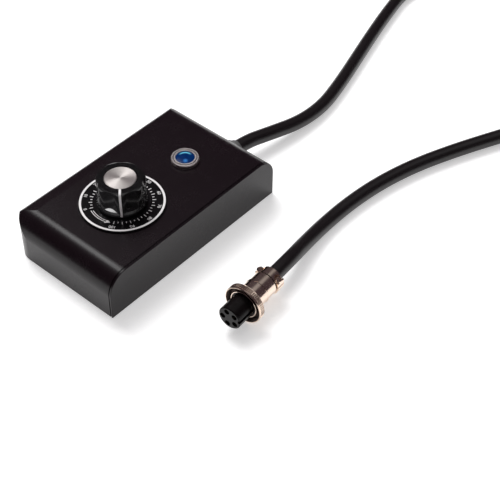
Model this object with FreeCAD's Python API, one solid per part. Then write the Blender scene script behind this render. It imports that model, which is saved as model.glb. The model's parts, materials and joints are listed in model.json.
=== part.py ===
import FreeCAD
import Part
import math
import os

# Speed controller for a toy train set. Millimetres, +X right, +Y rear, +Z up.
# The origin is on the underside of the case, in the middle of its plan.

V = FreeCAD.Vector
X_AXIS = V(1, 0, 0)
Y_AXIS = V(0, 1, 0)
Z_AXIS = V(0, 0, 1)

# Case
case_width = 60.0
case_length = 102.0
case_height = 22.0
wall = 1.6
edge_round = 9.6
corner_round = 9.0
shoulder_x = -22.7
shoulder_drop = 0.9
shoulder_round = 3.0
seam_gap = 0.5
side_plate_thick = 0.85
side_chamfer = 0.25
fit_gap = 0.1
lip_depth = 1.5
lip_thick = 1.2
base_thick = 1.6
roof_z = case_height - wall
mouth_x = case_width / 2 - side_plate_thick - seam_gap

# Case fixings
post_radius = 3.2
post_places = [(-22.0, -39.5), (-22.0, 39.5), (19.5, -39.5), (19.5, 39.5)]
lug_places = [(25.5, -27.0), (25.5, 27.0)]
lug_width = 7.0
lug_height = 7.0
case_screw_radius = 1.25
case_screw_length = 8.0
case_screw_head = 2.9
case_screw_head_depth = 1.3
case_screw_recess = 0.05
case_screw_slot_width = 0.6
case_screw_slot_depth = 0.75
case_screw_hole_radius = 1.3
case_screw_hole_top = case_screw_length + 0.3

# Dial plate and its printed scale
dial_x = 1.1
dial_y = -14.7
dial_radius = 19.0
dial_thick = 0.8
dial_top = case_height + dial_thick
print_thick = 0.08
ring_outer = 18.45
ring_inner = 17.5
tick_inner = 12.8
tick_long = 1.5
tick_short = 0.9
tick_width = 0.34
scale_span = 300.0
scale_steps = 40
scale_zero_angle = 240.0

# Speed potentiometer
can_radius = 8.0
can_bottom = 12.2
bush_flange_thick = 1.2
neck_radius = 3.5
neck_top = 25.6
shaft_radius = 3.0
shaft_bottom = 14.2
shaft_top = 33.5
shaft_clearance = 0.05
pot_washer_thick = 0.4
pot_nut_thick = 2.0
pot_nut_flats = 10.0

# Speed knob
knob_bottom = dial_top + 0.35
knob_top = 36.1
skirt_radius = 10.9
skirt_edge_top = 24.5
skirt_shoulder = 25.7
skirt_top = 27.2
lobe_count = 7
lobe_radius = 10.75
valley_radius = 9.75
knob_edge_round = 1.1
pointer_angle = -46.0
cap_radius = 6.9
cap_thick = 0.8
cap_proud = 0.15
knob_recess_radius = 7.0
knob_recess_top = 26.2
insert_bush_radius = 4.5
insert_bush_top = 34.0
pointer_width = 1.0
pointer_depth = 0.35
grub_z = 30.0
grub_radius = 1.5

# Lit push button
button_x = 2.4
button_y = 22.9
bezel_radius = 6.3
bezel_top = 23.9
bezel_bore = 5.4
barrel_radius = 5.8
barrel_bore = 4.65
barrel_bottom = 12.0
counterbore_bottom = 20.9
button_head_radius = 5.1
button_head_thick = 0.5
button_stem_radius = 4.4
button_stem_bore = 3.7
light_pipe_radius = 3.0
spring_radius = 3.95
spring_wire = 0.55
spring_turns = 4
button_stem_bottom = 14.0
lens_radius = 4.2
button_nut_flats = 14.0
housing_bottom = 7.0
housing_floor = 1.2

# Circuit board
board_top = 5.2
board_thick = 1.2
board_x0 = -18.0
board_x1 = 15.0
board_y0 = -4.0
board_y1 = 37.0
spacer_radius = 2.2
board_screw_inset = 3.0
connector_half_width = 6.4
connector_pitch = 2.2
connector_wall = 0.8
connector_y0 = 31.2
connector_y1 = 36.0
connector_height = 5.5

# Cable, gland and its free route over the table
cable_diameter = 6.8
cable_radius = cable_diameter / 2
cable_rest_z = cable_radius + 0.05
gland_x = 3.5
gland_z = 9.0
gland_inner_y = 46.5
gland_outer_y = 56.0
cable_clearance = 0.05
gland_neck_radius = cable_radius + 1.1
gland_flange_radius = 5.8
gland_seat_radius = 7.2
gland_seat_y = 48.9
gland_nut_flats = 12.0
gland_nut_thick = 2.0
core_radius = 0.6
core_circle = 1.9

coil_x = 84.0
coil_y = 252.0
coil_layers = 2
coil_columns = 2
coil_mean_radius = 37.4

plug_rear = V(69.15, 4.1, 9.0)
plug_turn = 4.0

lead_route = [
    (3.5, 46.5, 9.0),
    (3.6, 60.0, 9.0),
    (7.4, 76.5, 7.0),
    (10.6, 94.0, 4.4),
    (10.4, 112.0, 3.45),
    (6.2, 130.0, 3.45),
    (0.2, 150.5, 3.45),
    (-6.6, 173.0, 3.45),
    (-13.0, 196.0, 3.45),
    (-18.6, 220.0, 3.45),
    (-14.0, 243.0, 3.45),
    (3.0, 260.5, 3.45),
    (27.0, 271.0, 3.45),
    (51.0, 280.5, 3.45),
    (74.0, 291.5, 3.45),
]

tail_route = [
    (122.8, 239.4, 10.3),
    (115.5, 217.0, 8.8),
    (107.0, 192.5, 5.2),
    (97.5, 169.5, 3.45),
    (87.0, 147.6, 3.45),
    (78.0, 127.5, 3.45),
    (70.2, 107.0, 3.45),
    (65.2, 87.0, 3.45),
    (62.9, 67.5, 3.45),
    (62.7, 49.0, 3.45),
    (64.7, 32.0, 5.2),
    (68.4, 15.1, 9.0),
    (69.57, -1.9, 9.0),
]

# Round five-way plug, measured back from its rear end along its own axis
saddle_length = 4.2
saddle_half_width = 6.0
saddle_drop = 4.7
ear_top = 2.2
ear_bottom = 0.2
arch_radius = 5.0
clamp_screw_offset = 4.6
clamp_screw_radius = 1.0
clamp_screw_head = 1.65
barrel_tail_radius = 5.6
barrel_front_radius = 5.75
groove_start = 10.2
groove_end = 11.0
groove_ring_radius = 5.95
barrel_front = 18.6
barrel_wall = 0.8
sleeve_radius = 6.5
sleeve_rear = 18.8
sleeve_front = 20.1
nut_rear = 17.4
nut_front = 20.6
nut_radius = 9.0
nut_thread_radius = 8.1
nut_lip_thick = 1.0
nut_lip_bore = 6.1
insert_front = 29.5
insert_radius = 5.4
contact_circle = 3.3
contact_radius = 1.0
contact_count = 5
contact_first_angle = 40.0
key_slot_angle = 8.0
key_slot_width = 1.5
key_slot_depth = 1.0


def save(node, shape):
    """Write one sub-part and print its volume."""
    shape.exportStep(os.path.join("parts", node + ".step"))
    print(f"{node:22s} valid {shape.isValid()} solids {len(shape.Solids)} volume {shape.Volume:10.2f}")


def arc_edge(start, middle, end):
    return Part.Arc(start, middle, end).toShape()


def line_edge(start, end):
    return Part.LineSegment(start, end).toShape()


def polygon_face(points):
    return Part.Face(Part.makePolygon(list(points) + [points[0]]))


def box(x0, x1, y0, y1, z0, z1):
    return Part.makeBox(x1 - x0, y1 - y0, z1 - z0, V(x0, y0, z0))


def upright(radius, z0, z1, x=0.0, y=0.0):
    return Part.makeCylinder(radius, z1 - z0, V(x, y, z0))


def ring(outer, inner, z0, z1, x=0.0, y=0.0):
    return upright(outer, z0, z1, x, y).cut(upright(inner, z0, z1, x, y))


def turned(profile, x=0.0, y=0.0):
    """Solid of revolution about a vertical line, from (radius, height) points."""
    face = polygon_face([V(r, 0, z) for r, z in profile])
    solid = face.revolve(V(0, 0, 0), Z_AXIS, 360)
    solid.translate(V(x, y, 0))
    return solid


def hexagon(across_flats, z0, z1, x=0.0, y=0.0):
    corner = across_flats / math.sqrt(3)
    points = []
    for step in range(6):
        angle = math.radians(60 * step + 30)
        points.append(V(corner * math.cos(angle), corner * math.sin(angle), z0))
    prism = polygon_face(points).extrude(V(0, 0, z1 - z0))
    prism.translate(V(x, y, 0))
    return prism


def joined(shapes):
    whole = shapes[0]
    for shape in shapes[1:]:
        whole = whole.fuse(shape)
    return whole.removeSplitter()


def group(shapes):
    return Part.makeCompound(shapes)


def spun(shape, degrees, centre, axis):
    turned_copy = shape.copy()
    turned_copy.rotate(centre, axis, degrees)
    return turned_copy


# ---- case ----

def end_profile(inset, x, z_bottom):
    """Face across the case's length: flat bottom, rounded front and rear top edges."""
    half = case_length / 2 - inset
    top = case_height - inset
    radius = edge_round - inset
    k = radius * (1 - math.cos(math.radians(45)))
    edges = [
        line_edge(V(x, half, z_bottom), V(x, -half, z_bottom)),
        line_edge(V(x, -half, z_bottom), V(x, -half, top - radius)),
        arc_edge(V(x, -half, top - radius), V(x, -half + k, top - k), V(x, -half + radius, top)),
        line_edge(V(x, -half + radius, top), V(x, half - radius, top)),
        arc_edge(V(x, half - radius, top), V(x, half - k, top - k), V(x, half, top - radius)),
        line_edge(V(x, half, top - radius), V(x, half, z_bottom)),
    ]
    return Part.Face(Part.Wire(edges))


def plan_profile(inset, right_x, z):
    """Face of the case's plan, with its two left corners rounded."""
    left = -case_width / 2 + inset
    half = case_length / 2 - inset
    radius = corner_round - inset
    k = radius * (1 - math.cos(math.radians(45)))
    edges = [
        line_edge(V(right_x, -half, z), V(right_x, half, z)),
        line_edge(V(right_x, half, z), V(left + radius, half, z)),
        arc_edge(V(left + radius, half, z), V(left + k, half - k, z), V(left, half - radius, z)),
        line_edge(V(left, half - radius, z), V(left, -half + radius, z)),
        arc_edge(V(left, -half + radius, z), V(left + k, -half + k, z), V(left + radius, -half, z)),
        line_edge(V(left + radius, -half, z), V(right_x, -half, z)),
    ]
    return Part.Face(Part.Wire(edges))


def shoulder_profile(inset, right_x, z_bottom):
    """Face across the case's width: the left shoulder slopes down to a small round."""
    left = -case_width / 2 + inset
    top = case_height - inset
    slope = shoulder_drop / (shoulder_x + case_width / 2)
    edge_z = top - shoulder_drop
    wall_top = V(left, -case_length, edge_z - shoulder_round)
    slope_end = V(left + shoulder_round, -case_length, edge_z + slope * shoulder_round)
    k = shoulder_round * (1 - math.cos(math.radians(45)))
    middle = V(left + k, -case_length, edge_z - k + slope * k)
    edges = [
        line_edge(V(right_x, -case_length, z_bottom), V(left, -case_length, z_bottom)),
        line_edge(V(left, -case_length, z_bottom), wall_top),
        arc_edge(wall_top, middle, slope_end),
        line_edge(slope_end, V(shoulder_x, -case_length, top)),
        line_edge(V(shoulder_x, -case_length, top), V(right_x, -case_length, top)),
        line_edge(V(right_x, -case_length, top), V(right_x, -case_length, z_bottom)),
    ]
    return Part.Face(Part.Wire(edges))


def case_block(inset, right_x, z_bottom=0.0):
    """Solid of the case's outer form, made smaller by inset on every side."""
    left = -case_width / 2 - 1
    along = end_profile(inset, left, z_bottom).extrude(V(right_x - left, 0, 0))
    plan = plan_profile(inset, right_x, z_bottom).extrude(V(0, 0, case_height))
    across = shoulder_profile(inset, right_x, z_bottom).extrude(V(0, 2 * case_length, 0))
    return along.common(plan).common(across)


def case_shell():
    """Top, front, rear and left walls in one piece, with four screw posts."""
    outer = case_block(0.0, mouth_x)
    inner = case_block(wall, mouth_x + 1, -1.0)
    shell = outer.cut(inner)
    for x, y in post_places:
        shell = shell.fuse(upright(post_radius, base_thick, roof_z + 0.4, x, y))
    for x, y in post_places:
        shell = shell.cut(upright(case_screw_hole_radius, base_thick - 1, case_screw_hole_top, x, y))
    shell = shell.cut(upright(neck_radius + fit_gap, roof_z - 1, case_height + 1, dial_x, dial_y))
    shell = shell.cut(upright(barrel_radius + fit_gap, roof_z - 1, case_height + 1, button_x, button_y))
    gland_seat = along_rear(gland_seat_radius, gland_seat_y, case_length / 2 - wall / 2)
    gland_hole = along_rear(gland_neck_radius + fit_gap, gland_seat_y - 1, case_length / 2 + 1)
    return shell.fuse(gland_seat).cut(gland_hole).removeSplitter()


def along_rear(radius, y0, y1):
    """Cylinder on the line on which the cable leaves the rear wall."""
    return Part.makeCylinder(radius, y1 - y0, V(gland_x, y0, gland_z), Y_AXIS)


def side_plate():
    """Right-hand cover with a locating lip and two screw lugs."""
    x0 = case_width / 2 - side_plate_thick
    plate = end_profile(0.0, x0, 0.0).extrude(V(side_plate_thick, 0, 0))
    rim = [e for e in plate.Edges if min(v.X for v in e.Vertexes) > case_width / 2 - 0.01]
    plate = plate.makeChamfer(side_chamfer, rim)
    gap = wall + fit_gap
    lip_outer = end_profile(gap, mouth_x - lip_depth, base_thick + fit_gap)
    lip_inner = end_profile(gap + lip_thick, mouth_x - lip_depth, 0.0)
    reach = V(x0 - mouth_x + lip_depth, 0, 0)
    lip = lip_outer.extrude(reach).cut(lip_inner.extrude(reach))
    shapes = [plate, lip]
    for x, y in lug_places:
        half = lug_width / 2
        shapes.append(box(x - half, x0, y - half, y + half, base_thick, base_thick + lug_height))
    cover = joined(shapes)
    for x, y in lug_places:
        cover = cover.cut(upright(case_screw_hole_radius, 0, case_screw_hole_top, x, y))
    return cover


def base_plate():
    """Bottom cover inside the walls, countersunk for every screw."""
    plan = plan_profile(wall + fit_gap, mouth_x, 0.0)
    plate = plan.extrude(V(0, 0, base_thick))
    for x, y in post_places + lug_places:
        hole_radius = case_screw_radius + 2 * fit_gap
        sink_top = case_screw_head_depth + fit_gap
        plate = plate.cut(upright(hole_radius, -1, base_thick + 1, x, y))
        plate = plate.cut(Part.makeCone(case_screw_head + fit_gap, hole_radius, sink_top, V(x, y, 0)))
    return plate


def countersunk_screw(x, y):
    z0 = case_screw_recess
    head = Part.makeCone(case_screw_head, case_screw_radius, case_screw_head_depth, V(x, y, z0))
    shank = upright(case_screw_radius, z0, case_screw_length, x, y)
    reach = 0.6 * case_screw_head
    half = case_screw_slot_width / 2
    slot_a = box(x - reach, x + reach, y - half, y + half, 0, z0 + case_screw_slot_depth)
    slot_b = box(x - half, x + half, y - reach, y + reach, 0, z0 + case_screw_slot_depth)
    return head.fuse(shank).cut(slot_a).cut(slot_b)


def base_screws():
    return group([countersunk_screw(x, y) for x, y in post_places])


def side_plate_screws():
    return group([countersunk_screw(x, y) for x, y in lug_places])


# ---- dial ----

def dial_plate():
    return turned([
        (neck_radius + fit_gap, case_height),
        (dial_radius, case_height),
        (dial_radius, dial_top - 0.25),
        (dial_radius - 0.25, dial_top),
        (neck_radius + fit_gap, dial_top),
    ], dial_x, dial_y)


def dial_ring():
    return ring(ring_outer, ring_inner, dial_top, dial_top + print_thick, dial_x, dial_y)


def dial_ticks():
    """Forty steps over the scale, every second mark longer."""
    centre = V(dial_x, dial_y, 0)
    marks = []
    for step in range(scale_steps + 1):
        length = tick_long if step % 2 == 0 else tick_short
        angle = scale_zero_angle - scale_span * step / scale_steps
        mark = box(dial_x + tick_inner, dial_x + tick_inner + length, dial_y - tick_width / 2,
                   dial_y + tick_width / 2, dial_top, dial_top + print_thick)
        marks.append(spun(mark, angle, centre, Z_AXIS))
    return group(marks)


# ---- speed potentiometer ----

def pot_bushing():
    bore = shaft_radius + shaft_clearance
    return turned([
        (bore, roof_z - bush_flange_thick),
        (can_radius, roof_z - bush_flange_thick),
        (can_radius, roof_z),
        (neck_radius, roof_z),
        (neck_radius, neck_top - 0.3),
        (neck_radius - 0.3, neck_top),
        (bore, neck_top),
    ], dial_x, dial_y)


def pot_can():
    top = roof_z - bush_flange_thick
    outer = upright(can_radius, can_bottom, top, dial_x, dial_y)
    return outer.cut(upright(can_radius - 0.6, can_bottom + 0.8, top + 1, dial_x, dial_y))


def pot_track():
    """Resistive track: a ring open over the dead sector."""
    track = ring(6.9, 4.4, can_bottom + 0.8, can_bottom + 1.3, dial_x, dial_y)
    gap = box(dial_x - 1.5, dial_x + 1.5, dial_y - 8, dial_y, can_bottom, can_bottom + 2)
    return track.cut(gap)


def pot_terminals():
    tabs = []
    for offset in (-5.0, 0.0, 5.0):
        tab = box(dial_x + offset - 0.9, dial_x + offset + 0.9, dial_y + 5, dial_y + 12.4, 13.4, 13.9)
        tabs.append(tab.cut(upright(can_radius, can_bottom, 20, dial_x, dial_y)))
    return group(tabs)


def pot_washer():
    return ring(6.2, neck_radius + fit_gap, dial_top, dial_top + pot_washer_thick, dial_x, dial_y)


def pot_nut():
    z0 = dial_top + pot_washer_thick
    nut = hexagon(pot_nut_flats, z0, z0 + pot_nut_thick, dial_x, dial_y)
    return nut.cut(upright(neck_radius + 0.02, z0 - 1, z0 + pot_nut_thick + 1, dial_x, dial_y))


def pot_shaft():
    return turned([
        (0, shaft_bottom),
        (shaft_radius, shaft_bottom),
        (shaft_radius, shaft_top - 0.4),
        (shaft_radius - 0.4, shaft_top),
        (0, shaft_top),
    ], dial_x, dial_y)


def pot_wiper():
    """Contact arm on the shaft, over the track."""
    hub = ring(4.2, shaft_radius, shaft_bottom + 0.4, shaft_bottom + 1.4, dial_x, dial_y)
    arm = box(dial_x + 3.4, dial_x + 6.2, dial_y - 0.8, dial_y + 0.8,
              shaft_bottom + 0.4, shaft_bottom + 1.0)
    finger = upright(0.5, can_bottom + 1.65, shaft_bottom + 1.0, dial_x + 5.6, dial_y)
    arm = spun(arm.fuse(finger), pointer_angle + 180, V(dial_x, dial_y, 0), Z_AXIS)
    return joined([hub, arm])


# ---- speed knob ----

def fluted_outline(z):
    """Closed wavy outline: an arc over each lobe and an arc through each valley."""
    middle_radius = (lobe_radius + valley_radius) / 2
    step = 2 * math.pi / lobe_count
    start = math.radians(pointer_angle)

    def at(radius, angle):
        return V(dial_x + radius * math.cos(angle), dial_y + radius * math.sin(angle), z)

    edges = []
    for lobe in range(lobe_count):
        peak = start + lobe * step
        before = at(middle_radius, peak - step / 4)
        after = at(middle_radius, peak + step / 4)
        next_before = at(middle_radius, peak + 3 * step / 4)
        edges.append(arc_edge(before, at(lobe_radius, peak), after))
        edges.append(arc_edge(after, at(valley_radius, peak + step / 2), next_before))
    return Part.Face(Part.Wire(edges))


def knob_form(shrink):
    """The knob's turned outer form at its lobes, made smaller by shrink."""
    skirt = turned([
        (0, knob_bottom),
        (skirt_radius - 0.35 - shrink, knob_bottom),
        (skirt_radius - shrink, knob_bottom + 0.35),
        (skirt_radius - shrink, skirt_edge_top),
        (skirt_radius - 0.4 - shrink, skirt_shoulder - shrink),
        (valley_radius - 0.25 - shrink, skirt_top - shrink),
        (0, skirt_top - shrink),
    ], dial_x, dial_y)
    upper = turned([
        (0, skirt_edge_top),
        (lobe_radius - shrink, skirt_edge_top),
        (lobe_radius - shrink, knob_top - knob_edge_round),
        (lobe_radius - 0.26 * knob_edge_round - shrink, knob_top - 0.3 * knob_edge_round - shrink),
        (lobe_radius - knob_edge_round - shrink, knob_top - shrink),
        (0, knob_top - shrink),
    ], dial_x, dial_y)
    return skirt, upper


def pointer_line():
    """White strip let into the knob from the cap's edge down to the skirt."""
    outer = joined(knob_form(0.0))
    inner = joined(knob_form(pointer_depth))
    slab = box(dial_x + cap_radius + 0.1, dial_x + skirt_radius + 1, dial_y - pointer_width / 2,
               dial_y + pointer_width / 2, knob_bottom + 0.5, knob_top + 1)
    slab = spun(slab, pointer_angle, V(dial_x, dial_y, 0), Z_AXIS)
    return outer.common(slab).cut(inner)


def knob_body():
    skirt, upper = knob_form(0.0)
    fluted = fluted_outline(skirt_edge_top).extrude(V(0, 0, knob_top - skirt_edge_top))
    body = joined([skirt, fluted.common(upper)])
    body = body.cut(upright(knob_recess_radius, knob_bottom - 1, knob_recess_top, dial_x, dial_y))
    body = body.cut(upright(insert_bush_radius, knob_bottom, insert_bush_top, dial_x, dial_y))
    cap_seat = knob_top - cap_thick + cap_proud
    body = body.cut(upright(cap_radius + 0.05, cap_seat, knob_top + 1, dial_x, dial_y))
    body = body.cut(grub_hole(insert_bush_radius - 1, 12.0, grub_radius + 0.1))
    return body.cut(pointer_line())


def grub_hole(inner, outer, radius):
    angle = math.radians(pointer_angle + 180)
    direction = V(math.cos(angle), math.sin(angle), 0)
    start = V(dial_x, dial_y, grub_z) + direction * inner
    return Part.makeCylinder(radius, outer - inner, start, direction)


def knob_bush():
    bush = ring(insert_bush_radius, shaft_radius, knob_recess_top, insert_bush_top, dial_x, dial_y)
    return bush.cut(grub_hole(1.0, 8.0, grub_radius + 0.02))


def knob_grub_screw():
    screw = grub_hole(shaft_radius, 7.6, grub_radius)
    socket = grub_hole(6.4, 8.0, 0.75)
    trimmed = screw.cut(upright(shaft_radius, grub_z - 3, grub_z + 3, dial_x, dial_y))
    return trimmed.cut(socket)


def knob_cap():
    z0 = knob_top - cap_thick + cap_proud
    top = knob_top + cap_proud
    return turned([
        (0, z0),
        (cap_radius, z0),
        (cap_radius, top - 0.2),
        (cap_radius - 0.25, top),
        (0, top),
    ], dial_x, dial_y)


# ---- lit push button ----

def button_bezel():
    return turned([
        (barrel_bore, barrel_bottom),
        (barrel_radius, barrel_bottom),
        (barrel_radius, case_height),
        (bezel_radius, case_height),
        (bezel_radius, bezel_top - 0.5),
        (bezel_radius - 0.15, bezel_top - 0.15),
        (bezel_radius - 0.4, bezel_top),
        (bezel_bore + 0.15, bezel_top),
        (bezel_bore, bezel_top - 0.15),
        (bezel_bore, counterbore_bottom),
        (barrel_bore, counterbore_bottom),
    ], button_x, button_y)


def button_actuator():
    """Metal ring that is pressed, on a tube that slides in the barrel."""
    under = bezel_top - button_head_thick
    return turned([
        (button_stem_bore, button_stem_bottom),
        (button_stem_radius, button_stem_bottom),
        (button_stem_radius, under),
        (button_head_radius, under),
        (button_head_radius, bezel_top - 0.15),
        (button_head_radius - 0.15, bezel_top),
        (lens_radius + 0.2, bezel_top),
        (lens_radius + 0.05, bezel_top - 0.15),
        (lens_radius + 0.05, bezel_top - 1.0),
        (button_stem_bore, bezel_top - 1.0),
    ], button_x, button_y)


def button_lens():
    """Domed lens with a light pipe below it."""
    seat = bezel_top - 1.0
    rim = bezel_top - 0.35
    dome = 0.45
    sphere_radius = (lens_radius ** 2 + dome ** 2) / (2 * dome)
    disc = upright(lens_radius, seat, rim + dome, button_x, button_y)
    ball = Part.makeSphere(sphere_radius, V(button_x, button_y, rim + dome - sphere_radius))
    pipe = upright(light_pipe_radius, 18.0, seat, button_x, button_y)
    return joined([disc.common(ball), pipe])


def button_washer():
    return ring(7.6, barrel_radius + fit_gap, roof_z - 0.5, roof_z, button_x, button_y)


def button_nut():
    z1 = roof_z - 0.5
    nut = hexagon(button_nut_flats, z1 - 2.5, z1, button_x, button_y)
    return nut.cut(upright(barrel_radius + 0.02, z1 - 4, z1 + 1, button_x, button_y))


def button_housing():
    cup = upright(barrel_radius, housing_bottom, barrel_bottom, button_x, button_y)
    return cup.cut(upright(4.8, housing_bottom + housing_floor, barrel_bottom + 1, button_x, button_y))


def button_led():
    z0 = housing_bottom + housing_floor
    body = upright(1.5, z0, z0 + 3.0, button_x, button_y)
    dome = Part.makeSphere(1.5, V(button_x, button_y, z0 + 3.0))
    return joined([body, dome])


def button_spring():
    """Square-wire coil spring between the housing floor and the sliding tube."""
    half = spring_wire / 2
    bottom = housing_bottom + housing_floor + half
    rise = button_stem_bottom - half - bottom
    helix = Part.makeHelix(rise / spring_turns, rise, spring_radius)
    inner = spring_radius - half
    outer = spring_radius + half
    corners = [V(inner, 0, -half), V(outer, 0, -half), V(outer, 0, half), V(inner, 0, half)]
    section = Part.makePolygon(corners + [corners[0]])
    spring = Part.Wire(helix.Edges).makePipeShell([section], True, True)
    spring.translate(V(button_x, button_y, bottom))
    return spring


def button_terminals():
    tabs = []
    for dx, dy in ((-3.5, 0), (3.5, 0), (0, -3.5), (0, 3.5)):
        x = button_x + dx
        y = button_y + dy
        tabs.append(box(x - 0.9, x + 0.9, y - 0.3, y + 0.3, board_top, housing_bottom))
    return group(tabs)


# ---- circuit board ----

def board_corners():
    inset = board_screw_inset
    xs = (board_x0 + inset, board_x1 - inset)
    ys = (board_y0 + inset, board_y1 - inset)
    return [(x, y) for x in xs for y in ys]


def circuit_board():
    board = box(board_x0, board_x1, board_y0, board_y1, board_top - board_thick, board_top)
    for x, y in board_corners():
        board = board.cut(upright(1.1, 0, board_top + 1, x, y))
    return board


def board_spacers():
    spacers = []
    for x, y in board_corners():
        spacers.append(ring(spacer_radius, 0.95, base_thick, board_top - board_thick, x, y))
    return group(spacers)


def board_screws():
    screws = []
    for x, y in board_corners():
        head = upright(1.9, board_top, board_top + 1.1, x, y)
        shank = upright(0.9, base_thick + 0.4, board_top, x, y)
        slot = box(x - 2, x + 2, y - 0.25, y + 0.25, board_top + 0.6, board_top + 2)
        screws.append(head.fuse(shank).cut(slot))
    return group(screws)


def board_capacitor():
    can = upright(3.6, board_top, board_top + 10.0, -10.5, 25.5)
    return can.makeFillet(0.5, [e for e in can.Edges if e.Vertexes[0].Z > board_top + 9])


def board_regulator():
    body = box(-15.0, -5.0, 11.0, 14.2, board_top + 1.5, board_top + 9.5)
    tab = box(-15.0, -5.0, 14.2, 15.4, board_top + 1.5, board_top + 13.0)
    legs = [box(x - 0.4, x + 0.4, 12.2, 12.7, board_top, board_top + 1.5) for x in (-12.5, -10.0, -7.5)]
    return joined([body, tab] + legs)


def board_resistors():
    parts = []
    for row in range(4):
        y = 3.0 + 2.6 * row
        parts.append(Part.makeCylinder(0.9, 5.5, V(6.0, y, board_top + 0.9), X_AXIS))
    return group(parts)


def wire_connector():
    half = connector_half_width
    top = board_top + connector_height
    inner = half - connector_wall
    block = box(gland_x - half, gland_x + half, connector_y0, connector_y1, board_top, top)
    mouth = box(gland_x - inner, gland_x + inner, connector_y0 + 2, connector_y1 + 1,
                board_top + connector_wall, top - connector_wall)
    return block.cut(mouth)


# ---- cords and wires ----

def rounded_path(points, cap_share=0.45, report=None):
    """Straight runs joined by tangent arcs, each as large as its two runs allow."""
    points = [V(*p) for p in points]
    edges = []
    here = points[0]
    radii = []
    for before, corner, after in zip(points, points[1:], points[2:]):
        back = before - corner
        ahead = after - corner
        run = min(back.Length, ahead.Length)
        back.normalize()
        ahead.normalize()
        half_turn = (math.pi - back.getAngle(ahead)) / 2
        reach = cap_share * run
        radius = reach / math.tan(half_turn)
        start = corner + back * reach
        end = corner + ahead * reach
        bisector = back + ahead
        bisector.normalize()
        centre_distance = radius / math.cos(half_turn)
        middle = corner + bisector * (centre_distance - radius)
        edges.append(line_edge(here, start))
        edges.append(arc_edge(start, middle, end))
        here = end
        radii.append(radius)
    edges.append(line_edge(here, points[-1]))
    if report:
        print(report, "radii", [round(r, 1) for r in radii])
    return Part.Wire(edges)


def tube(points, radius, report=None):
    path = rounded_path(points, report=report)
    first = V(*points[0])
    direction = V(*points[1]) - first
    section = Part.Wire(Part.makeCircle(radius, first, direction))
    solid = path.makePipeShell([section], True, False)
    if report:
        expected = math.pi * radius ** 2 * path.Length
        print(report, "length", round(path.Length, 1), "volume ratio", round(solid.Volume / expected, 4))
    return solid


def core_wires():
    """Five cores from the cable's end to the connector on the board."""
    order = [2, 4, 3, 1, 0]
    start_y = gland_inner_y - cable_clearance
    end_y = connector_y0 + 2.5
    plug_z = board_top + connector_height / 2
    wires = []
    for core in range(5):
        angle = 2 * math.pi * core / 5
        x = gland_x + core_circle * math.cos(angle)
        z = gland_z + core_circle * math.sin(angle)
        target = gland_x + connector_pitch * (order.index(core) - 2)
        route = [(x, start_y, z), (x, 42.5, z), (target, 38.5, plug_z), (target, end_y, plug_z)]
        wires.append(tube(route, core_radius))
    return group(wires)


def pot_wires():
    """Three wires from the potentiometer's tabs down to the board."""
    wires = []
    for offset in (-5.0, 0.0, 5.0):
        x = dial_x + offset
        wires.append(tube([(x, -2.9, 13.4), (x, -2.9, 9.6), (x, 0.9, 8.4), (x, 0.9, board_top)], 0.55))
    return group(wires)


def along_y(profile, x, z):
    """Solid of revolution about a line parallel to Y, from (radius, y) points."""
    face = polygon_face([V(r, y, 0) for r, y in profile])
    solid = face.revolve(V(0, 0, 0), Y_AXIS, 360)
    solid.translate(V(x, 0, z))
    return solid


def cable_gland():
    """Bush through the rear wall with a short tapered collar on the cable."""
    bore = cable_radius + cable_clearance
    back = case_length / 2
    front = gland_inner_y + 0.3
    return along_y([
        (bore, front),
        (gland_neck_radius, front),
        (gland_neck_radius, back),
        (gland_flange_radius, back),
        (gland_flange_radius, back + 1.7),
        (gland_flange_radius - 0.4, back + 2.2),
        (cable_radius + 1.3, back + 2.2),
        (cable_radius + 0.4, gland_outer_y),
        (bore, gland_outer_y),
    ], gland_x, gland_z)


def gland_nut():
    nut = hexagon(gland_nut_flats, 0, gland_nut_thick)
    nut = nut.cut(upright(gland_neck_radius + 0.02, -1, gland_nut_thick + 1))
    nut.rotate(V(0, 0, 0), X_AXIS, 90)
    nut = spun(nut, 30, V(0, 0, 0), Y_AXIS)
    nut.translate(V(gland_x, gland_seat_y, gland_z))
    return nut


def cable_coil():
    """The outer form of the cable's put-away turns."""
    half_width = coil_columns * cable_radius
    height = coil_layers * cable_diameter
    outer = coil_mean_radius + half_width
    inner = coil_mean_radius - half_width
    soft = 2.0
    return turned([
        (inner, soft),
        (inner + soft, 0.0),
        (outer - soft, 0.0),
        (outer, soft),
        (outer, height - soft),
        (outer - soft, height),
        (inner + soft, height),
        (inner, height - soft),
    ], coil_x, coil_y)


# ---- plug ----

def placed_plug(shape):
    """Turn a plug piece, built at the origin with its front towards -Y, into its place."""
    moved = shape.copy()
    moved.rotate(V(0, 0, 0), Z_AXIS, plug_turn)
    moved.translate(plug_rear)
    return moved


def plug_turned(profile):
    """Plug piece turned about its axis, from (radius, distance from the rear) points."""
    return along_y([(r, -s) for r, s in profile], 0.0, 0.0)


def plug_rod(radius, s0, s1, x=0.0, z=0.0):
    return Part.makeCylinder(radius, s1 - s0, V(x, -s0, z), V(0, -1, 0))


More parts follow.
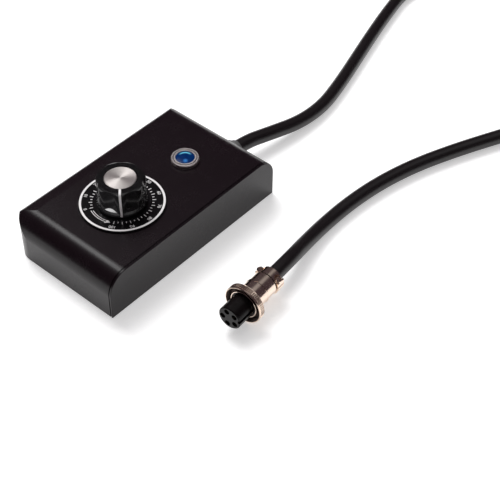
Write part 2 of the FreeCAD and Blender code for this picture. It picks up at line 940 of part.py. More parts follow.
def plug_barrel():
    """Metal body with the lower half of the cable clamp behind it."""
    bore = cable_radius + cable_clearance
    body = plug_turned([
        (bore, saddle_length + 0.4),
        (barrel_tail_radius - 0.5, saddle_length + 0.4),
        (barrel_tail_radius, saddle_length + 0.9),
        (barrel_tail_radius, groove_start),
        (groove_ring_radius, groove_start + 0.15),
        (groove_ring_radius, groove_end - 0.15),
        (barrel_front_radius, groove_end),
        (barrel_front_radius, barrel_front),
        (barrel_front_radius - barrel_wall, barrel_front),
        (barrel_front_radius - barrel_wall, saddle_length + 2.4),
        (bore, saddle_length + 2.4),
    ])
    saddle = box(-saddle_half_width, saddle_half_width, -saddle_length, 0, -saddle_drop, -ear_bottom)
    shape_to = plug_rod(saddle_half_width + 0.2, -1, saddle_length + 1)
    saddle = saddle.common(shape_to)
    tongue = box(-3.0, 3.0, -saddle_length - 1.5, -saddle_length + 0.5, -saddle_drop, -cable_radius - 0.3)
    lower = joined([saddle, tongue])
    lower = lower.cut(plug_rod(bore, -1, saddle_length + 3))
    for side in (-1, 1):
        x = side * clamp_screw_offset
        lower = lower.cut(upright(clamp_screw_radius + 0.05, -3.4, 1, x, -saddle_length / 2))
    tongue_join = plug_rod(barrel_front_radius - barrel_wall, saddle_length + 2.4, saddle_length + 9)
    return joined([body, lower.cut(tongue_join)])


def plug_clamp():
    """Upper half of the cable clamp: an arch between two ears."""
    ears = box(-saddle_half_width, saddle_half_width, -saddle_length, 0, ear_bottom, ear_top)
    arch = plug_rod(arch_radius, 0, saddle_length)
    arch = arch.common(box(-arch_radius, arch_radius, -saddle_length, 0, ear_bottom, arch_radius))
    clamp = joined([ears, arch]).cut(plug_rod(cable_radius + cable_clearance, -1, saddle_length + 1))
    for side in (-1, 1):
        x = side * clamp_screw_offset
        clamp = clamp.cut(upright(clamp_screw_radius + 0.05, -1, ear_top + 1, x, -saddle_length / 2))
        clamp = clamp.cut(upright(clamp_screw_head + 0.1, ear_top, arch_radius + 1, x, -saddle_length / 2))
    return clamp


def plug_clamp_screws():
    screws = []
    for side in (-1, 1):
        x = side * clamp_screw_offset
        y = -saddle_length / 2
        head = turned([(0, ear_top), (clamp_screw_head, ear_top), (clamp_screw_head, ear_top + 0.7),
                       (clamp_screw_head - 0.5, ear_top + 1.2), (0, ear_top + 1.2)], x, y)
        shank = upright(clamp_screw_radius, -3.2, ear_top, x, y)
        slot = box(x - 2, x + 2, y - 0.25, y + 0.25, ear_top + 0.7, ear_top + 2)
        screws.append(head.fuse(shank).cut(slot))
    return group(screws)


def plug_sleeve():
    """Thin bright sleeve round the insert, which keeps the coupling nut on."""
    inner = sleeve_radius - 0.5
    return plug_turned([
        (barrel_front_radius - barrel_wall, barrel_front),
        (barrel_front_radius, barrel_front),
        (barrel_front_radius, sleeve_rear),
        (sleeve_radius, sleeve_rear),
        (sleeve_radius, sleeve_front - 0.1),
        (sleeve_radius - 0.1, sleeve_front),
        (inner + 0.1, sleeve_front),
        (inner, sleeve_front - 0.1),
        (inner, sleeve_rear + 0.5),
        (barrel_front_radius - barrel_wall, sleeve_rear + 0.5),
    ])


def contact_places():
    places = []
    for contact in range(contact_count):
        angle = math.radians(contact_first_angle + 360 * contact / contact_count)
        places.append((contact_circle * math.cos(angle), contact_circle * math.sin(angle)))
    return places


def plug_insert():
    """Black insulator with five contact holes and a key slot."""
    flange_rear = sleeve_rear + 0.5
    insert = plug_turned([
        (0, 13.0),
        (4.7, 13.0),
        (4.7, flange_rear),
        (sleeve_radius - 0.55, flange_rear),
        (sleeve_radius - 0.55, flange_rear + 0.5),
        (insert_radius, flange_rear + 0.5),
        (insert_radius, insert_front - 0.4),
        (insert_radius - 0.4, insert_front),
        (0, insert_front),
    ])
    for x, z in contact_places():
        insert = insert.cut(plug_rod(contact_radius + 0.02, 12.0, insert_front + 1, x, z))
        insert = insert.cut(plug_rod(contact_radius + 0.3, insert_front - 1.2, insert_front + 1, x, z))
    slot = box(insert_radius - key_slot_depth, insert_radius + 2, -insert_front - 1, -flange_rear - 0.6,
               -key_slot_width / 2, key_slot_width / 2)
    return insert.cut(spun(slot, -key_slot_angle, V(0, 0, 0), Y_AXIS))


def plug_contacts():
    """Five socket contacts, bored from the front."""
    contacts = []
    for x, z in contact_places():
        contact = plug_rod(contact_radius, 10.5, insert_front - 1.2, x, z)
        contacts.append(contact.cut(plug_rod(contact_radius - 0.35, insert_front - 7, insert_front, x, z)))
    return group(contacts)


def plug_nut():
    """Knurled coupling nut, free to turn on the barrel."""
    return plug_turned([
        (nut_lip_bore, nut_rear),
        (nut_radius - 0.2, nut_rear),
        (nut_radius, nut_rear + 0.2),
        (nut_radius, nut_front - 0.5),
        (nut_radius - 0.2, nut_front),
        (nut_thread_radius + 0.4, nut_front),
        (nut_thread_radius, nut_front - 0.4),
        (nut_thread_radius, nut_rear + nut_lip_thick),
        (nut_lip_bore, nut_rear + nut_lip_thick),
    ])


PIECES = {
    "case_shell": case_shell,
    "side_plate": side_plate,
    "base_plate": base_plate,
    "base_screws": base_screws,
    "side_plate_screws": side_plate_screws,
    "circuit_board": circuit_board,
    "board_spacers": board_spacers,
    "board_screws": board_screws,
    "board_capacitor": board_capacitor,
    "board_regulator": board_regulator,
    "board_resistors": board_resistors,
    "wire_connector": wire_connector,
    "core_wires": core_wires,
    "pot_wires": pot_wires,
    "dial_plate": dial_plate,
    "dial_ring": dial_ring,
    "dial_ticks": dial_ticks,
    "pot_bushing": pot_bushing,
    "pot_can": pot_can,
    "pot_track": pot_track,
    "pot_terminals": pot_terminals,
    "pot_washer": pot_washer,
    "pot_nut": pot_nut,
    "pot_shaft": pot_shaft,
    "pot_wiper": pot_wiper,
    "knob_body": knob_body,
    "knob_bush": knob_bush,
    "knob_cap": knob_cap,
    "knob_pointer_line": pointer_line,
    "knob_grub_screw": knob_grub_screw,
    "button_bezel": button_bezel,
    "button_washer": button_washer,
    "button_nut": button_nut,
    "button_housing": button_housing,
    "button_led": button_led,
    "button_terminals": button_terminals,
    "button_spring": button_spring,
    "button_actuator": button_actuator,
    "button_lens": button_lens,
    "cable_gland": cable_gland,
    "gland_nut": gland_nut,
    "cable_coil": cable_coil,
}

PLUG_PIECES = {
    "plug_barrel": plug_barrel,
    "plug_clamp": plug_clamp,
    "plug_clamp_screws": plug_clamp_screws,
    "plug_sleeve": plug_sleeve,
    "plug_insert": plug_insert,
    "plug_contacts": plug_contacts,
    "plug_nut": plug_nut,
}

os.makedirs("parts", exist_ok=True)
for node, make in PIECES.items():
    save(node, make())
for node, make in PLUG_PIECES.items():
    save(node, placed_plug(make()))
save("cable_lead", tube(lead_route, cable_radius, "cable_lead"))
save("cable_tail", tube(tail_route, cable_radius, "cable_tail"))
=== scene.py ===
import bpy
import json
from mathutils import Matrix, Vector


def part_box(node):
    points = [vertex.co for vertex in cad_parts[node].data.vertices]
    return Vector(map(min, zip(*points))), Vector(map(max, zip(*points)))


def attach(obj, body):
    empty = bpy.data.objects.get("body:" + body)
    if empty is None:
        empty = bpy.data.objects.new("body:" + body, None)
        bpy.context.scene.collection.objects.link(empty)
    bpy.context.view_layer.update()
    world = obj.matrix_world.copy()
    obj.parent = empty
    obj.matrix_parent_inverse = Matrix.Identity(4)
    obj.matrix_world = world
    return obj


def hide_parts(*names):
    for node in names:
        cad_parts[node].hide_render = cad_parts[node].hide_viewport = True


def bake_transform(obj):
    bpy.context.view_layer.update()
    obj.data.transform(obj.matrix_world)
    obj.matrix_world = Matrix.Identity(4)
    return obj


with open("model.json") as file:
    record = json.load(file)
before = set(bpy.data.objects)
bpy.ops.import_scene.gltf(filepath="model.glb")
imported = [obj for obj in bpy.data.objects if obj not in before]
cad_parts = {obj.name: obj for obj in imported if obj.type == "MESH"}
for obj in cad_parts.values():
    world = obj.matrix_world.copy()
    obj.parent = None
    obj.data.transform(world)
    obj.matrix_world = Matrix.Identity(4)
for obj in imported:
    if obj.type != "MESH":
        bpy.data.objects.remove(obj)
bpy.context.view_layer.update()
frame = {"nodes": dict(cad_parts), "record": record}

import json
import math

import bmesh
import bpy
from mathutils import Matrix, Vector

MM = 0.001
UP = Vector((0, 0, 1))


# ---------------------------------------------------------------- camera

EYE = Vector((0.28527, -0.26342, 0.37305))
LOOK = Vector((-0.45599, 0.53380, -0.71213))
CAMERA_UP = Vector((-0.47086, 0.53430, 0.70201))
LENS = 86.6
SENSOR = 36.0


def show(thing):
    """Put an object in the scene."""
    bpy.context.collection.objects.link(thing)


def add_camera():
    """Studio camera above the front right corner of the case."""
    forward = LOOK.normalized()
    right = forward.cross(CAMERA_UP).normalized()
    up = right.cross(forward)
    data = bpy.data.cameras.new("camera")
    data.sensor_width = SENSOR
    data.lens = LENS
    data.clip_start = 0.01
    data.clip_end = 20.0
    camera = bpy.data.objects.new("camera", data)
    show(camera)
    turn = Matrix((right, up, -forward)).transposed().to_4x4()
    camera.matrix_world = Matrix.Translation(EYE) @ turn
    bpy.context.scene.camera = camera


add_camera()


# ---------------------------------------------------------------- cable

CABLE_DIAMETER = 6.8 * MM
COIL_STEPS = 56
# Degrees gone along the coil between which it moves in, climbs, and moves out again.
MOVE_IN = (285, 358)
CLIMB = (572, 648)
MOVE_OUT = (858, 932)

LEAD_ROUTE = [
    (3.5, 46.5, 9.0),
    (3.6, 60.0, 9.0),
    (7.4, 76.5, 7.0),
    (10.6, 94.0, 4.4),
    (10.4, 112.0, 3.45),
    (6.2, 130.0, 3.45),
    (0.2, 150.5, 3.45),
    (-6.6, 173.0, 3.45),
    (-13.0, 196.0, 3.45),
    (-18.6, 220.0, 3.45),
    (-14.0, 243.0, 3.45),
    (3.0, 260.5, 3.45),
    (27.0, 271.0, 3.45),
    (51.0, 280.5, 3.45),
    (74.0, 291.5, 3.45),
]

TAIL_ROUTE = [
    (122.8, 239.4, 10.3),
    (115.5, 217.0, 8.8),
    (107.0, 192.5, 5.2),
    (97.5, 169.5, 3.45),
    (87.0, 147.6, 3.45),
    (78.0, 127.5, 3.45),
    (70.2, 107.0, 3.45),
    (65.2, 87.0, 3.45),
    (62.9, 67.5, 3.45),
    (62.7, 49.0, 3.45),
    (64.7, 32.0, 5.2),
    (68.4, 15.1, 9.0),
    (69.57, -1.9, 9.0),
]


def eased(value, start, end):
    """0 before start, 1 after end, with a soft change between."""
    t = min(max((value - start) / (end - start), 0.0), 1.0)
    return t * t * (3 - 2 * t)


def coil_turns():
    """Points of the put-away turns: two side by side, then two more on top of them."""
    low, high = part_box("cable_coil")
    centre = (low + high) / 2 / MM
    diameter = CABLE_DIAMETER / MM
    outer = (high.x - low.x) / 2 / MM - diameter / 2
    clearance = 0.05

    def bearing(point):
        return math.degrees(math.atan2(point[1] - centre.y, point[0] - centre.x))

    start_angle = bearing(LEAD_ROUTE[-1])
    sweep = start_angle - bearing(TAIL_ROUTE[0]) + 3 * 360
    # The spline runs inside its control points, so they stand out a little.
    spread = 1 / math.cos(math.radians(sweep / COIL_STEPS / 2)) ** 0.7
    points = []
    for index in range(1, COIL_STEPS):
        gone = sweep * index / COIL_STEPS
        inward = eased(gone, *MOVE_IN) - eased(gone, *MOVE_OUT)
        radius = (outer - diameter * inward) * spread
        height = diameter / 2 + clearance + diameter * eased(gone, *CLIMB)
        angle = math.radians(start_angle - gone)
        points.append((centre.x + radius * math.cos(angle), centre.y + radius * math.sin(angle), height))
    return points


def smooth_cord(name, points, diameter):
    """Round cord along a smooth spline whose control points are in millimetres."""
    curve = bpy.data.curves.new(name, "CURVE")
    curve.dimensions = "3D"
    curve.bevel_depth = 1.0  # times each point's own radius, which also keeps the curve's bounds true
    curve.bevel_resolution = 10
    curve.resolution_u = 10
    curve.use_fill_caps = True
    spline = curve.splines.new("NURBS")
    spline.points.add(len(points) - 1)
    for control, point in zip(spline.points, points):
        control.co = (*[c * MM for c in point], 1.0)
        control.radius = diameter / 2
    spline.order_u = 3
    spline.use_endpoint_u = True
    cord = bpy.data.objects.new(name, curve)
    show(cord)
    return cord


def drawn_mesh(thing):
    """Mesh of an object as it is drawn."""
    bpy.context.view_layer.update()
    return bpy.data.meshes.new_from_object(thing.evaluated_get(bpy.context.evaluated_depsgraph_get()))


def centre_line_length(cord):
    """Length of the cord's own spline."""
    bare = cord.copy()
    bare.data = cord.data.copy()
    bare.data.bevel_depth = 0.0
    bare.data.use_fill_caps = False
    show(bare)
    mesh = drawn_mesh(bare)
    places = [v.co.copy() for v in mesh.vertices]
    bpy.data.objects.remove(bare)
    bpy.data.meshes.remove(mesh)
    return sum((b - a).length for a, b in zip(places, places[1:]))


cable = smooth_cord("cable", LEAD_ROUTE + coil_turns() + TAIL_ROUTE, CABLE_DIAMETER)
cable_length = centre_line_length(cable)
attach(cable, "controller")
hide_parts("cable_lead", "cable_coil", "cable_tail")


# ---------------------------------------------------------------- shader helpers

class Value:
    """A number that varies over a surface. An expression on it adds its Math nodes."""

    def __init__(self, finish, socket):
        self.finish = finish
        self.socket = socket

    def _math(self, operation, first, second):
        return self.finish.add("ShaderNodeMath", {"operation": operation}, {0: first, 1: second}).out(0)

    def __add__(self, other):
        return self._math("ADD", self, other)

    def __sub__(self, other):
        return self._math("SUBTRACT", self, other)

    def __rsub__(self, other):
        return self._math("SUBTRACT", other, self)

    def __mul__(self, other):
        return self._math("MULTIPLY", self, other)

    __radd__ = __add__
    __rmul__ = __mul__


class Added:
    """A node just added to a finish."""

    def __init__(self, finish, node):
        self.finish = finish
        self.node = node

    def out(self, key):
        return Value(self.finish, self.node.outputs[key])


NUMBER_RESULTS = ("LENGTH", "DISTANCE", "DOT_PRODUCT")


class Finish:
    """A material under construction around one Principled shader."""

    def __init__(self, name, **fixed):
        self.material = bpy.data.materials.new(name)
        self.material.use_nodes = True
        self.tree = self.material.node_tree
        self.shader = self.tree.nodes["Principled BSDF"]
        for key, value in fixed.items():
            self.shader.inputs[key.replace("_", " ").title().replace("Ior", "IOR")].default_value = value

    def add(self, kind, settings=None, values=None):
        """New node of a kind, its settings made first, then its sockets filled or linked."""
        node = self.tree.nodes.new(kind)
        for key, value in (settings or {}).items():
            setattr(node, key, value)
        for key, value in (values or {}).items():
            self._feed(node.inputs[key], value)
        return Added(self, node)

    def _feed(self, socket, value):
        if isinstance(value, Value):
            self.tree.links.new(value.socket, socket)
        else:
            socket.default_value = value

    def feed(self, name, value):
        """Fill or link a socket of the shader."""
        self._feed(self.shader.inputs[name], value)

    def vector(self, operation, *terms):
        """Vector Math on one or two terms."""
        node = self.add("ShaderNodeVectorMath", {"operation": operation}, dict(enumerate(terms)))
        return node.out("Value" if operation in NUMBER_RESULTS else "Vector")

    def place(self):
        """Position on the object."""
        return self.add("ShaderNodeTexCoord").out("Object")

    def noise(self, size, detail=3.0):
        """Soft noise whose features are about size metres across."""
        values = {"Vector": self.place(), "Scale": 1 / size, "Detail": detail}
        return self.add("ShaderNodeTexNoise", {}, values).out("Fac")

    def between(self, factor, first, second):
        """Colour mixed from first to second."""
        colours = [(*colour, 1.0) if isinstance(colour, tuple) else colour for colour in (first, second)]
        # Sockets 6 and 7 take the two colours of a Mix node, and output 2 gives the mixed one.
        values = {0: factor, 6: colours[0], 7: colours[1]}
        return self.add("ShaderNodeMix", {"data_type": "RGBA"}, values).out(2)

    def bump(self, height, depth):
        """Relief of a depth in metres."""
        values = {"Height": height, "Distance": depth, "Strength": 1.0}
        self.feed("Normal", self.add("ShaderNodeBump", {}, values).out("Normal"))


def moulded(name, colour, worn, roughness, grain=0.25 * MM, depth=0.01 * MM, **fixed):
    """Moulded or painted surface: fine grain, faint cloudy colour and sheen."""
    finish = Finish(name, **fixed)
    cloud = finish.noise(9 * MM, 4.0)
    fine = finish.noise(grain, 2.0)
    finish.feed("Base Color", finish.between(cloud * 0.6 + fine * 0.4, colour, worn))
    finish.feed("Roughness", roughness - 0.04 + cloud * 0.05 + fine * 0.04)
    finish.bump(fine, depth)
    return finish.material


def plated(name, colour, tint, roughness, depth=0.002 * MM):
    """Plated or turned metal: fine tool marks and a slight change of tint."""
    finish = Finish(name, metallic=1.0)
    marks = finish.noise(0.5 * MM)
    cloud = finish.noise(6 * MM)
    finish.feed("Base Color", finish.between(cloud * 0.5 + marks * 0.5, colour, tint))
    finish.feed("Roughness", roughness - 0.05 + marks * 0.08 + cloud * 0.04)
    finish.bump(marks, depth)
    return finish.material


def across(finish, node):
    """Level offset of a point from the upright axis of a round node, and its length."""
    low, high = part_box(node)
    middle = tuple((low + high) / 2)
    away = finish.vector("SUBTRACT", finish.place(), middle)
    level = finish.vector("MULTIPLY", away, (1, 1, 0))
    return level, finish.vector("LENGTH", level)


def soft_step(finish, value, start, end):
    """0 at start, 1 at end, soft between."""
    values = {"Value": value, "From Min": start, "From Max": end}
    return finish.add("ShaderNodeMapRange", {"interpolation_type": "SMOOTHSTEP"}, values).out(0)


def near(finish, value, centre, width):
    """1 where value is at centre, 0 beyond width from it."""
    return soft_step(finish, value, centre - width, centre) * soft_step(finish, value, centre + width, centre)


def unit_direction(degrees):
    """Level direction at an angle from +X."""
    angle = math.radians(degrees)
    return Vector((math.cos(angle), math.sin(angle), 0))


# Where the painted highlights of the lens lie: an arc along its back rim and a spot low at its front.
LENS_RIM_HIGHLIGHT_RADIUS = 3.1 * MM
LENS_RIM_HIGHLIGHT_WIDTH = 0.75 * MM
LENS_RIM_HIGHLIGHT_BEARING = 132
LENS_SPOT_RADIUS = 2.4 * MM
LENS_SPOT_BEARING = -43
LENS_SPOT_EDGE = 1.5 * MM
LENS_SPOT_CORE = 0.2 * MM


def lit_lens():
    """Blue lens glowing with its lamp's light, with a painted highlight along its back edge and another low
    at the front.
    """
    finish = Finish("blue_lens_painted_highlights", roughness=0.2, specular_ior_level=0.2, emission_strength=1.0)
    level, radius = across(finish, "button_lens")
    way = finish.vector("NORMALIZE", level)
    back_side = finish.vector("DOT_PRODUCT", way, unit_direction(LENS_RIM_HIGHLIGHT_BEARING))
    # Painted highlight: a light arc along the back rim of the lens, put into its glow.
    rim = near(finish, radius, LENS_RIM_HIGHLIGHT_RADIUS, LENS_RIM_HIGHLIGHT_WIDTH)
    painted_rim_highlight = rim * soft_step(finish, back_side, 0.45, 0.98)
    # Painted highlight: a bright spot low at the front of the lens.
    spot = tuple(unit_direction(LENS_SPOT_BEARING) * LENS_SPOT_RADIUS)
    off_spot = finish.vector("DISTANCE", level, spot)
    painted_spot_highlight = soft_step(finish, off_spot, LENS_SPOT_EDGE, LENS_SPOT_CORE)
    ripple = finish.noise(0.9 * MM, 2.0)
    deep = finish.between(ripple, (0.0, 0.004, 0.04), (0.0, 0.012, 0.085))
    # Colours of the painted highlights: blue for the front spot, pale cyan for the back rim.
    lower = finish.between(painted_spot_highlight * 0.85, deep, (0.03, 0.18, 0.5))
    finish.feed("Emission Color", finish.between(painted_rim_highlight, lower, (0.16, 0.62, 0.78)))
    finish.feed("Base Color", finish.between(ripple, (0.0, 0.006, 0.03), (0.0, 0.02, 0.06)))
    finish.bump(ripple, 0.004 * MM)
    return finish.material


RING_SPACING = 0.1 * MM


def turned_cap():
    """Aluminium disc faced on a lathe, with fine rings round its middle."""
    finish = Finish("turned_aluminium", metallic=1.0, anisotropic=0.75, anisotropic_rotation=0.25)
    radius = across(finish, "knob_cap")[1]
    values = {"W": radius, "Scale": 1 / RING_SPACING, "Detail": 2.0}
    rings = finish.add("ShaderNodeTexNoise", {"noise_dimensions": "1D"}, values).out("Fac")
    speckle = finish.noise(0.12 * MM, 2.0)
    wear = rings * 0.6 + speckle * 0.4
    finish.feed("Base Color", finish.between(wear, (0.86, 0.8, 0.76), (0.98, 0.94, 0.91)))
    finish.feed("Roughness", wear * 0.12 + 0.4)
    return finish.material


# For each material slot: a name, two colours, the roughness, and for some the size and depth of the grain.
FINISHES = {
    "black_case": moulded("satin_black_case", (0.006, 0.003, 0.0045), (0.009, 0.005, 0.007), 0.26,
                          0.3 * MM, 0.0012 * MM, specular_ior_level=0.3),
    "base": moulded("satin_black_base", (0.012, 0.011, 0.012), (0.02, 0.018, 0.02), 0.5, 0.2 * MM),
    "steel_screws": plated("screw_steel", (0.45, 0.44, 0.42), (0.6, 0.58, 0.55), 0.32),
    "board_green": moulded("board_mask", (0.012, 0.11, 0.04), (0.02, 0.16, 0.06), 0.35, 0.4 * MM),
    "nylon": moulded("natural_nylon", (0.62, 0.6, 0.54), (0.74, 0.72, 0.66), 0.5),
    "parts_black": moulded("component_black", (0.015, 0.015, 0.017), (0.03, 0.03, 0.032), 0.45),
    "wire_cover": moulded("wire_cover_red", (0.3, 0.015, 0.012), (0.42, 0.03, 0.02), 0.42),
    "dial_black": moulded("dial_lacquer", (0.003, 0.003, 0.0035), (0.006, 0.0055, 0.006), 0.16,
                          0.3 * MM, 0.002 * MM),
    "white_print": moulded("white_ink", (0.8, 0.78, 0.78), (0.9, 0.88, 0.88), 0.45,
                           0.12 * MM, 0.002 * MM),
    "pot_metal": plated("pot_steel", (0.55, 0.55, 0.53), (0.7, 0.69, 0.66), 0.3),
    "pot_carbon": moulded("carbon_track", (0.01, 0.01, 0.01), (0.02, 0.02, 0.02), 0.6),
    "brass_inside": plated("plain_brass", (0.6, 0.42, 0.16), (0.78, 0.58, 0.26), 0.25),
    "knob_black": moulded("polished_phenolic", (0.002, 0.002, 0.0022), (0.004, 0.0038, 0.004), 0.14,
                          0.5 * MM, 0.001 * MM, specular_ior_level=0.4),
    "cap_aluminium": turned_cap(),
    "button_steel": plated("turned_button_metal", (0.74, 0.69, 0.68), (0.88, 0.83, 0.81), 0.45),
    "button_blue": lit_lens(),
    "housing_black": moulded("housing_moulding", (0.012, 0.012, 0.012), (0.022, 0.022, 0.022), 0.5),
    "led_clear": moulded("lamp_body", (0.6, 0.7, 0.85), (0.7, 0.8, 0.95), 0.15),
    "spring_steel": plated("spring_wire", (0.5, 0.5, 0.5), (0.65, 0.65, 0.65), 0.3),
    "gland_grey": moulded("gland_moulding", (0.09, 0.09, 0.09), (0.14, 0.14, 0.14), 0.5),
    "cable_black": moulded("cable_jacket", (0.005, 0.0035, 0.004), (0.009, 0.0065, 0.0075), 0.36,
                           0.6 * MM, 0.003 * MM),
    "plug_nickel": plated("warm_nickel", (0.86, 0.69, 0.57), (0.92, 0.78, 0.67), 0.16, depth=0.0004 * MM),
    "plug_insulator": moulded("insulator_moulding", (0.003, 0.002, 0.002), (0.006, 0.0045, 0.0045), 0.3,
                              0.3 * MM, 0.002 * MM, specular_ior_level=0.2),
}


def dress(thing, slot):
    """Give a piece or a CAD node its finish in every material slot."""
    materials = thing.data.materials
    if not materials:
        materials.append(FINISHES[slot])
    for index in range(len(materials)):
        materials[index] = FINISHES[slot]


for subpart in frame["record"]["subparts"]:
    dress(frame["nodes"][subpart["node"]], subpart["material_slot"])
dress(cable, "cable_black")


# ---------------------------------------------------------------- mesh helpers

def settle(piece, body, slot):
    """Put a new piece in the scene with its finish. It rides the body, or is left unattached if that is None.
    """
    show(piece)
    if body:
        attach(piece, body)
    dress(piece, slot)


def skin(work, rings, closed=False):
    """Faces between neighbouring rings of points, with two end faces unless the rings close on themselves."""
    count = len(rings[0])
    following = rings[1:] + rings[:1] if closed else rings[1:]
    for a, b in zip(rings, following):
        for k in range(count):
            work.faces.new((a[k], a[(k + 1) % count], b[(k + 1) % count], b[k]))
    if not closed:
        work.faces.new(rings[0])
        work.faces.new(list(reversed(rings[-1])))


def mesh_piece(name, build, body, slot, smooth=True):
    """New piece whose mesh is made by build(bmesh)."""
    mesh = bpy.data.meshes.new(name)
    work = bmesh.new()
    build(work)
    bmesh.ops.recalc_face_normals(work, faces=work.faces)
    for face in work.faces:
        face.smooth = smooth
    work.to_mesh(mesh)
    work.free()
    piece = bpy.data.objects.new(name, mesh)
    settle(piece, body, slot)
    return piece


# ---------------------------------------------------------------- dial print

INK = 0.08 * MM
# Inner and outer radius in millimetres, then start and end in degrees.
LOW_END_ARCS = [(13.15, 13.4, -112, -74), (14.0, 14.3, -114, -76)]
# Radius in millimetres and bearing in degrees of each corner.
ARROWHEAD = [(14.9, -76), (12.8, -73), (13.9, -66)]
NUMBER_HEIGHT = 2.1 * MM
NUMBER_RADIUS = 16.1 * MM
SCALE_START = 240
SCALE_STEP = 30


def dial_centre():
    """Middle of the dial plate's upper face."""
    low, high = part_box("dial_plate")
    return Vector(((low.x + high.x) / 2, (low.y + high.y) / 2, high.z))


def flat_arc(work, inner, outer, start, end):
    """Printed strip along an arc of the dial."""
    steps = 48
    rings = []
    for index in range(steps + 1):
        along = unit_direction(start + (end - start) * index / steps)
        ring = []
        for radius, height in ((inner, 0), (outer, 0), (outer, INK), (inner, INK)):
            ring.append(work.verts.new(dial_centre() + along * radius + UP * height))
        rings.append(ring)
    skin(work, rings)


def low_end_mark(work):
    """Double arc across the open part of the scale, ending in an arrowhead."""
    for inner, outer, start, end in LOW_END_ARCS:
        flat_arc(work, inner * MM, outer * MM, start, end)
    corners = [dial_centre() + unit_direction(degrees) * radius * MM for radius, degrees in ARROWHEAD]
    skin(work, [[work.verts.new(corner + UP * height) for corner in corners] for height in (0, INK)])


mesh_piece("dial_low_end_mark", low_end_mark, "controller", "white_print", smooth=False)


def dial_number(number, degrees):
    """One number of the scale, read from outside the dial."""
    name = f"dial_number_{number}"
    text = bpy.data.curves.new(name, "FONT")
    text.body = str(number)
    text.size = NUMBER_HEIGHT
    text.align_x = "CENTER"
    text.align_y = "CENTER"
    text.extrude = INK / 2
    text.resolution_u = 4
    flat = bpy.data.objects.new(name, text)
    place = dial_centre() + unit_direction(degrees) * NUMBER_RADIUS + UP * (INK / 2)
    turn = Matrix.Rotation(math.radians(degrees - 90), 4, "Z")
    show(flat)
    mesh = drawn_mesh(flat)
    bpy.data.objects.remove(flat)
    mesh.transform(Matrix.Translation(place) @ turn)
    settle(bpy.data.objects.new(name, mesh), "controller", "white_print")


for index in range(11):
    dial_number(10 * index, SCALE_START - SCALE_STEP * index)


# ---------------------------------------------------------------- button spring

SPRING_LOW, SPRING_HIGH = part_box("button_spring")
SPRING_MIDDLE = (SPRING_LOW + SPRING_HIGH) / 2
SPRING_WIRE_RADIUS = 0.27 * MM
SPRING_TURNS = 4


def round_wire_coil(work):
    """Coil of round wire between the housing's floor and the sliding tube."""
    coil_radius = (SPRING_HIGH.x - SPRING_LOW.x) / 2 - SPRING_WIRE_RADIUS
    rise = SPRING_HIGH.z - SPRING_LOW.z - 2 * SPRING_WIRE_RADIUS
    steps = 24 * SPRING_TURNS
    sides = 8
    rings = []
    for index in range(steps + 1):
        outward = unit_direction(360 * SPRING_TURNS * index / steps)
        height = SPRING_LOW.z + SPRING_WIRE_RADIUS + rise * index / steps
        middle = Vector((SPRING_MIDDLE.x, SPRING_MIDDLE.y, height)) + outward * coil_radius
        ring = []
        for side in range(sides):
            around = 2 * math.pi * side / sides
            edge = math.cos(around) * outward + math.sin(around) * UP
            ring.append(work.verts.new(middle + SPRING_WIRE_RADIUS * edge))
        rings.append(ring)
    skin(work, rings)


spring = mesh_piece("button_coil", round_wire_coil, None, "spring_steel")
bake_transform(spring)
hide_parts("button_spring")


# ---------------------------------------------------------------- plug

def plug_frame():
    """Matrix whose origin is on the plug's axis at its nose and whose +Z runs out of the nose."""
    mount = next(mount for mount in frame["record"]["mounts"] if mount["name"] == "plug_nose")
    axis = Vector(mount["axis"]).normalized()
    side = axis.cross(UP).normalized()
    over = side.cross(axis)
    turn = Matrix((side, over, axis)).transposed().to_4x4()
    place = Vector(mount["pos_m"])
    reach = max((v.co - place).dot(axis) for v in frame["nodes"]["plug_insert"].data.vertices)
    return Matrix.Translation(place + axis * reach) @ turn


PLUG = plug_frame()


def along_plug(node):
    """Where a CAD node starts and ends along the plug's axis, counted from the nose, in metres."""
    inverse = PLUG.inverted()
    heights = [(inverse @ v.co).z for v in frame["nodes"][node].data.vertices]
    return min(heights), max(heights)


NUT_RADIUS = 9.0 * MM
NUT_BORE = 6.1 * MM
THREAD_RADIUS = 8.1 * MM
THREAD_TURNS = 3
NUT_FLOOR = 1.0 * MM
KNURL_DEPTH = 0.16 * MM
KNURL_RIDGES = 68
KNURL_FORM = (0.0, KNURL_DEPTH, KNURL_DEPTH, 0.0)
KNURLED_POINTS = (3, 4)


def nut_profile():
    """Outline of half the nut's section, as (radius, height) points."""
    rear, front = along_plug("plug_nut")
    root = NUT_RADIUS - KNURL_DEPTH
    shoulder = NUT_RADIUS - 0.12 * MM
    profile = [
        (NUT_BORE, rear),
        (NUT_RADIUS - 0.35 * MM, rear),
        (shoulder, rear + 0.12 * MM),
        (root, rear + 0.3 * MM),
        (root, front - 0.95 * MM),
        (shoulder, front - 0.8 * MM),
        (NUT_RADIUS, front - 0.7 * MM),
        (NUT_RADIUS, front - 0.25 * MM),
        (NUT_RADIUS - 0.25 * MM, front),
        (THREAD_RADIUS + 0.45 * MM, front),
    ]
    thread_top = front - 0.3 * MM
    pitch = (front - 0.35 * MM - (rear + NUT_FLOOR + 0.05 * MM)) / THREAD_TURNS
    for turn in range(THREAD_TURNS):
        top = thread_top - turn * pitch
        profile.append((THREAD_RADIUS + 0.25 * MM, top))
        profile.append((THREAD_RADIUS - 0.05 * MM, top - pitch / 2))
    profile.append((THREAD_RADIUS, rear + NUT_FLOOR))
    profile.append((NUT_BORE, rear + NUT_FLOOR))
    return profile


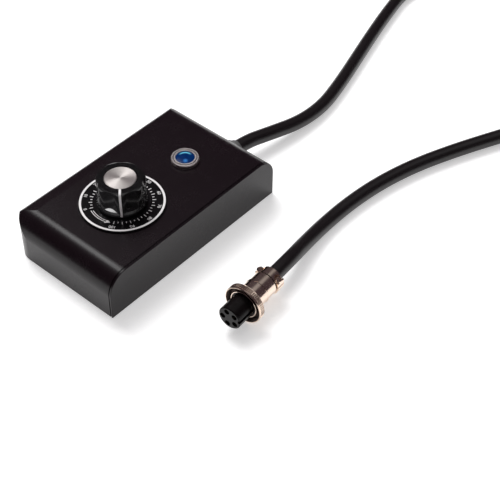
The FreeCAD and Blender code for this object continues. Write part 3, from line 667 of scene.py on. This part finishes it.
def coupling_nut(work):
    """Knurled ring with a plain front rim and a cut thread inside."""
    profile = nut_profile()
    segments = len(KNURL_FORM) * KNURL_RIDGES
    rings = []
    for segment in range(segments):
        outward = unit_direction(360 * segment / segments)
        ridge = KNURL_FORM[segment % len(KNURL_FORM)]
        ring = []
        for index, (radius, height) in enumerate(profile):
            extra = ridge if index in KNURLED_POINTS else 0.0
            ring.append(work.verts.new(PLUG @ (outward * (radius + extra) + UP * height)))
        rings.append(ring)
    skin(work, rings, closed=True)


def nut_plating():
    """Warm plating, made rougher in the cut thread and drawn near black there with painted shade."""
    finish = Finish("nut_plating", metallic=1.0)
    nose = tuple(PLUG.translation)
    axis = tuple(PLUG.col[2].xyz)
    away = finish.vector("SUBTRACT", finish.place(), nose)
    height = finish.vector("DOT_PRODUCT", away, axis)
    along = finish.add("ShaderNodeVectorMath", {"operation": "SCALE"}, {0: axis, "Scale": height}).out(0)
    outward = finish.vector("DISTANCE", away, along)
    # plain is 1 on the outside of the nut and 0 inside it, where the painted shade lies.
    plain = soft_step(finish, outward, THREAD_RADIUS + 0.3 * MM, THREAD_RADIUS + 0.5 * MM)
    marks = finish.noise(0.5 * MM)
    plating = finish.between(marks, (0.8, 0.62, 0.5), (0.88, 0.73, 0.61))
    # Painted shade: inside the nut, in the cut thread, the plating is drawn near black.
    finish.feed("Base Color", finish.between(plain, (0.05, 0.035, 0.03), plating))
    finish.feed("Roughness", 0.42 - plain * 0.26 + marks * 0.06)
    return finish.material


nut = mesh_piece("knurled_coupling_nut", coupling_nut, "coupling_nut", "plug_nickel", smooth=False)
nut.data.materials[0] = nut_plating()
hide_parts("plug_nut")


# ---------------------------------------------------------------- studio

FLOOR_HALF_WIDTH = 3.0
FLOOR_DEPTH = 0.05 * MM


def add_floor():
    """Pale floor just under the case, seen from above only."""
    mesh = bpy.data.meshes.new("floor")
    work = bmesh.new()
    bmesh.ops.create_grid(work, x_segments=1, y_segments=1, size=FLOOR_HALF_WIDTH)
    work.to_mesh(mesh)
    work.free()
    floor = bpy.data.objects.new("floor", mesh)
    floor.location = (0, 0, -FLOOR_DEPTH)
    show(floor)
    finish = Finish("pale_floor", roughness=0.7, emission_strength=0.47)
    finish.feed("Base Color", finish.between(finish.noise(0.3), (0.84, 0.84, 0.84), (0.87, 0.87, 0.87)))
    finish.feed("Emission Color", finish.between(finish.noise(0.5), (0.98, 0.98, 0.98), (1.0, 1.0, 1.0)))
    finish.feed("Alpha", 1 - finish.add("ShaderNodeNewGeometry").out("Backfacing"))
    mesh.materials.append(finish.material)


LIT_PLACE = Vector((0.0, -0.04, 0.02))


def add_softbox(name, direction, distance, width, height, power, mirrored=True, only_on=None):
    """Soft light that looks at the case from a direction, seen in shiny surfaces if mirrored."""
    data = bpy.data.lights.new(name, "AREA")
    data.shape = "RECTANGLE"
    data.size = width
    data.size_y = height
    data.energy = power
    lamp = bpy.data.objects.new(name, data)
    away = Vector(direction).normalized()
    turn = away.to_track_quat("Z", "Y").to_matrix().to_4x4()
    lamp.matrix_world = Matrix.Translation(LIT_PLACE + away * distance) @ turn
    lamp.visible_glossy = mirrored
    if only_on:
        lit = bpy.data.collections.new(name + "_lights")
        lit.objects.link(only_on)
        lamp.light_linking.receiver_collection = lit
    show(lamp)


# Heights of a direction, from 0 level to 1 straight up, between which the glow sets in.
GLOW_START = 0.78
GLOW_FULL = 0.98


def add_world():
    """Dim studio with a soft glow overhead."""
    world = bpy.data.worlds.new("studio")
    bpy.context.scene.world = world
    world.use_nodes = True
    tree = world.node_tree
    direction = tree.nodes.new("ShaderNodeTexCoord")
    parts = tree.nodes.new("ShaderNodeSeparateXYZ")
    ramp = tree.nodes.new("ShaderNodeValToRGB")
    dim, glow = ramp.color_ramp.elements
    dim.position = GLOW_START
    dim.color = (0.055, 0.04, 0.048, 1.0)
    glow.position = GLOW_FULL
    glow.color = (1.0, 1.0, 1.0, 1.0)
    tree.links.new(direction.outputs["Generated"], parts.inputs[0])
    tree.links.new(parts.outputs["Z"], ramp.inputs["Fac"])
    tree.links.new(ramp.outputs["Color"], tree.nodes["Background"].inputs["Color"])


add_floor()
add_softbox("key_softbox", (-0.56, 0.16, 0.81), distance=1.4, width=0.42, height=0.42, power=3.6)
add_softbox("front_card", (-0.25, -0.94, 0.24), distance=1.2, width=2.6, height=0.5, power=70.0,
            only_on=frame["nodes"]["knob_body"])
add_softbox("overhead_softbox", (-0.5, 0.32, 0.8), distance=1.5, width=0.9, height=0.9, power=18.0,
            mirrored=False)
add_world()
bpy.context.scene.view_settings.view_transform = "Standard"
